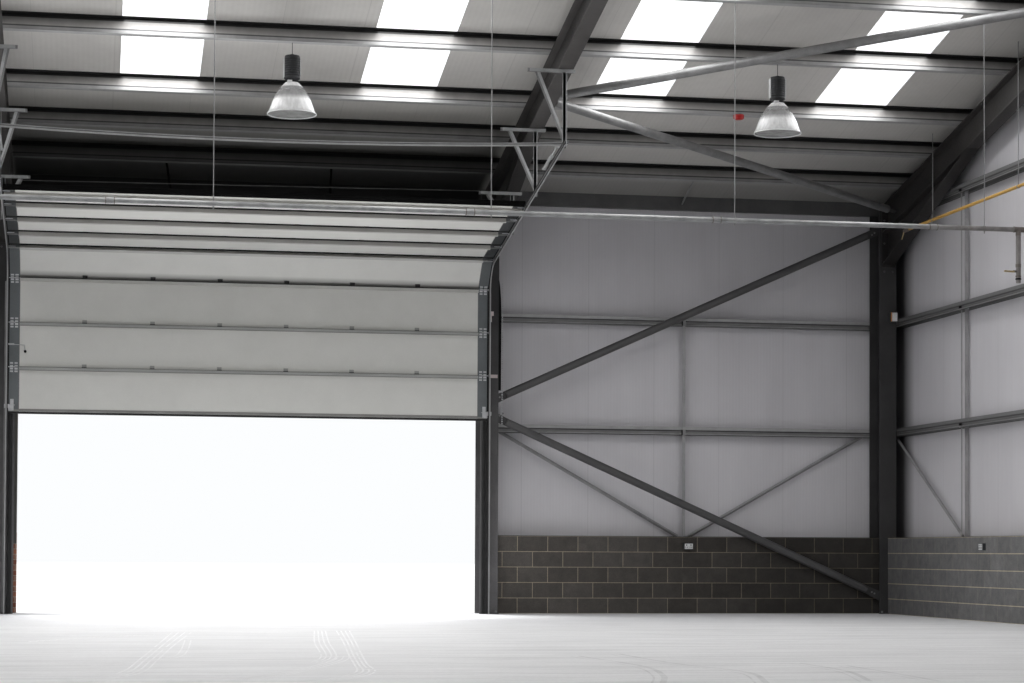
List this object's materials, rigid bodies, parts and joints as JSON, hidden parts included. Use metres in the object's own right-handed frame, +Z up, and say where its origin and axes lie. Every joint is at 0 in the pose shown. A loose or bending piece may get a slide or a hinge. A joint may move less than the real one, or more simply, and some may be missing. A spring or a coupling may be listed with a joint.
{
  "type": "factory building",
  "caption": "Single-storey steel portal-frame factory hall with a shallow pitched roof, masonry dado, insulated metal cladding and a raised sectional door.",
  "frame": {"origin": "centre of the bounding box at its bottom, on the ground plane under the middle of the hall", "axes": "-Y out through the wall with the big door, +X along the door wall to the right as seen from outside, +Z up"},
  "size_m": [19.68, 36.78, 10.3038],
  "materials": {
    "concrete": "trowelled",
    "dark_block": "fair-faced",
    "grey_block": "fair-faced",
    "facing_brick": "facing brick",
    "flashing": "coated steel",
    "wall_panel": "coated steel",
    "roof_panel": "coated steel",
    "rooflight": "translucent",
    "rainwater": "coated steel",
    "frame_steel": "primed",
    "galvanised": "galvanised",
    "door_steel": "coated steel",
    "door_frame": "painted",
    "seal_rubber": "matt",
    "stile_steel": "coated steel",
    "gas_pipe": "painted",
    "lamp_bell": "clear, ribbed",
    "lamp_housing": "cast",
    "wall_box": "moulded",
    "shaft_steel": "galvanised"
  },
  "bodies": {
    "root": {"floor_slab": "concrete", "long_wall_blocks": "dark_block", "gable_dado_blocks": "grey_block", "long_wall_bricks": "facing_brick", "gable_dado_bricks": "facing_brick", "dado_cills": "flashing", "front_cladding": "wall_panel", "back_cladding": "wall_panel", "gable_cladding": "wall_panel", "corner_flashings": "flashing", "front_roof": "roof_panel", "back_roof": "roof_panel", "rooflights": "rooflight", "ridge_capping": "flashing", "verge_flashings": "flashing", "gutters": "rainwater", "downpipes": "rainwater", "frame_columns": "frame_steel", "frame_rafters": "frame_steel", "haunches": "frame_steel", "end_plates": "frame_steel", "wall_bracing": "frame_steel", "brace_plates": "frame_steel", "roof_bracing": "frame_steel", "gable_posts": "frame_steel", "purlins": "galvanised", "eaves_beams": "galvanised", "long_wall_rails": "galvanised", "gable_rails": "galvanised", "rail_ties": "galvanised", "door_frame": "door_frame", "door_sections": "door_steel", "door_stiles": "stile_steel", "door_hinges": "galvanised", "door_rollers": "shaft_steel", "door_tracks": "galvanised", "track_supports": "galvanised", "door_seals": "seal_rubber", "door_shaft": "shaft_steel", "service_pipe": "galvanised", "pipe_rods": "galvanised", "gas_pipe": "gas_pipe", "lamp_bells": "lamp_bell", "lamp_housings": "lamp_housing", "wall_boxes": "wall_box"}
  },
  "joints": []
}
